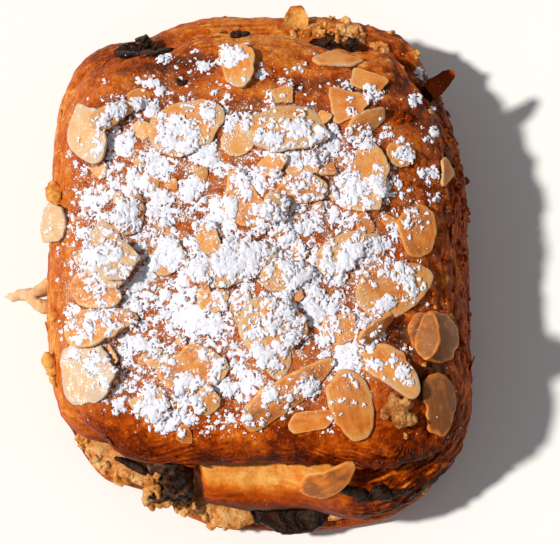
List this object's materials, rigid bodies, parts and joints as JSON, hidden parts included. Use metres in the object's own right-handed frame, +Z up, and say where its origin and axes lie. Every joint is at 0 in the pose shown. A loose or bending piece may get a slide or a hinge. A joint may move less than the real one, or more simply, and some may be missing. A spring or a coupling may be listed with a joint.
{
  "type": "almond pain au chocolat",
  "caption": "Rolled laminated pastry filled with almond cream and chocolate batons, topped with flaked almonds and icing sugar.",
  "frame": {"origin": "middle of the flat base the pastry rests on", "axes": "+Y along the chocolate batons towards the back end, +X to the right across the pastry, +Z up"},
  "size_m": [0.1121, 0.1258, 0.0494],
  "materials": {
    "crust": "baked laminated crust, orange brown, satin on its top sheet",
    "crust_base": "baked crust, duller and more even underneath",
    "almond_cream": "baked almond cream, crumbly and matt",
    "chocolate": "dark chocolate, baked matt with a faint bloom",
    "flaked_almond": "toasted almond slice, cream with golden and brown patches",
    "icing_sugar": "white powder, matt, in clumps and fine grains"
  },
  "bodies": {
    "root": {"crust_upper": "crust", "crust_lower": "crust_base", "almond_cream": "almond_cream", "cream_crumbs": "almond_cream", "chocolate_left": "chocolate", "chocolate_right": "chocolate", "chocolate_pool": "chocolate", "almond_01": "flaked_almond", "almond_02": "flaked_almond", "almond_03": "flaked_almond", "almond_04": "flaked_almond", "almond_05": "flaked_almond", "almond_06": "flaked_almond", "almond_07": "flaked_almond", "almond_08": "flaked_almond", "almond_09": "flaked_almond", "almond_10": "flaked_almond", "almond_11": "flaked_almond", "almond_12": "flaked_almond", "almond_13": "flaked_almond", "almond_14": "flaked_almond", "almond_15": "flaked_almond", "almond_16": "flaked_almond", "almond_17": "flaked_almond", "almond_18": "flaked_almond", "almond_19": "flaked_almond", "almond_20": "flaked_almond", "almond_21": "flaked_almond", "almond_22": "flaked_almond", "almond_23": "flaked_almond", "almond_24": "flaked_almond", "almond_25": "flaked_almond", "almond_26": "flaked_almond", "almond_27": "flaked_almond", "almond_28": "flaked_almond", "almond_29": "flaked_almond", "almond_30": "flaked_almond", "almond_31": "flaked_almond", "almond_32": "flaked_almond", "almond_33": "flaked_almond", "almond_34": "flaked_almond", "almond_35": "flaked_almond", "almond_36": "flaked_almond", "almond_37": "flaked_almond", "almond_38": "flaked_almond", "almond_39": "flaked_almond", "almond_40": "flaked_almond", "almond_41": "flaked_almond", "almond_42": "flaked_almond", "almond_43": "flaked_almond", "almond_44": "flaked_almond", "almond_45": "flaked_almond", "almond_46": "flaked_almond", "almond_47": "flaked_almond", "almond_48": "flaked_almond", "almond_49": "flaked_almond", "almond_50": "flaked_almond"}
  },
  "joints": []
}
